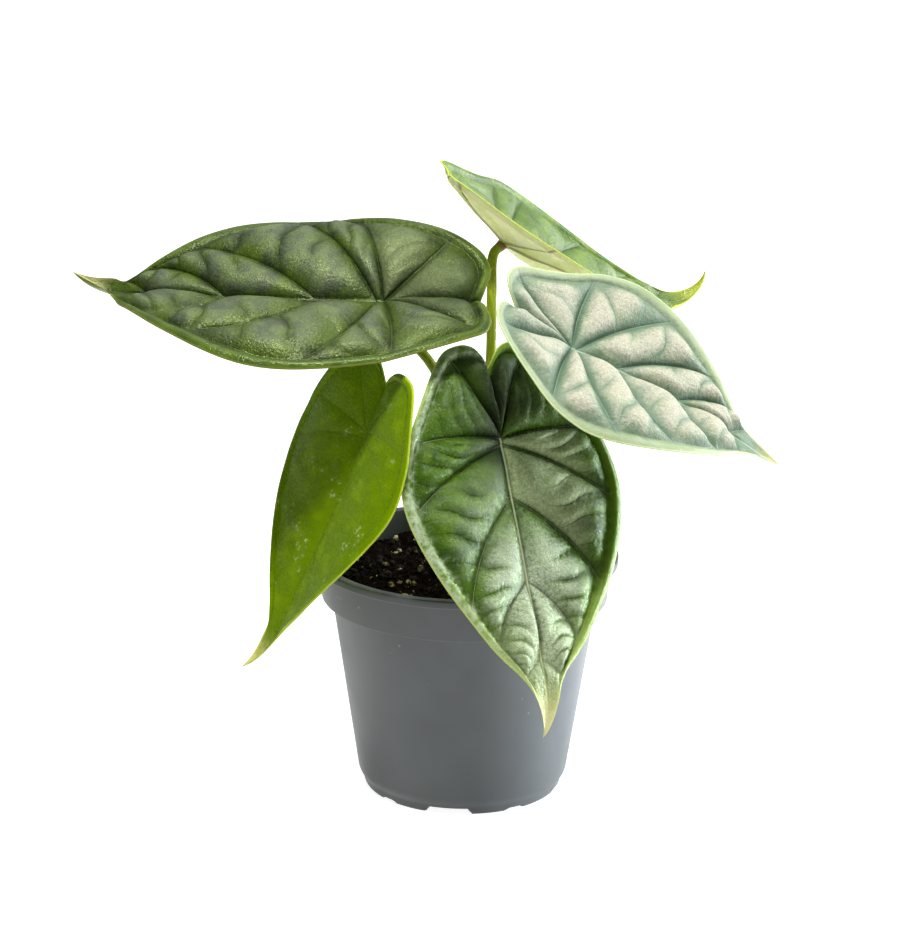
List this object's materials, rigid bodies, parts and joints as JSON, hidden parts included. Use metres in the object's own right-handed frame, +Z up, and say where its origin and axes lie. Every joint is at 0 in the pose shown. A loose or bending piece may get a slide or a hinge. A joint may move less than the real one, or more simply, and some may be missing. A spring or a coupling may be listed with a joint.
{
  "type": "potted dragon scale alocasia",
  "caption": "Young dragon scale alocasia: quilted, heart-shaped grey-green and silver leaves on slender petioles, growing from dark potting soil in a plain round grey nursery pot.",
  "frame": {"origin": "bottom centre of the plant's own box, in the plane of the pot's foot; the pot's axis stands 17.2 mm to +X of it", "axes": "+Z up along the pot's axis; -Y is the front, where the large quilted leaf hangs down over the pot; +X is to the right as seen from the front and runs along the plant's widest spread"},
  "size_m": [0.2724, 0.167, 0.2474],
  "materials": {
    "pot_plastic": "satin grey, moulded",
    "potting_soil": "loose, fibrous, moist",
    "stem_green": "smooth, slightly glossy",
    "leaf_grey_green": "quilted, satin sheen",
    "leaf_silver": "quilted, metallic satin sheen",
    "leaf_quilted_green": "strongly quilted, glossy",
    "leaf_yellow_green": "young and smooth, glossy",
    "leaf_light_green": "quilted, satin sheen"
  },
  "bodies": {
    "root": {"pot": "pot_plastic", "soil": "potting_soil", "crown": "stem_green", "petiole_left": "stem_green", "petiole_right": "stem_green", "petiole_front": "stem_green", "petiole_lower_left": "stem_green", "petiole_top": "stem_green", "blade_left": "leaf_grey_green", "blade_right": "leaf_silver", "blade_front": "leaf_quilted_green", "blade_lower_left": "leaf_yellow_green", "blade_top": "leaf_light_green"}
  },
  "joints": []
}
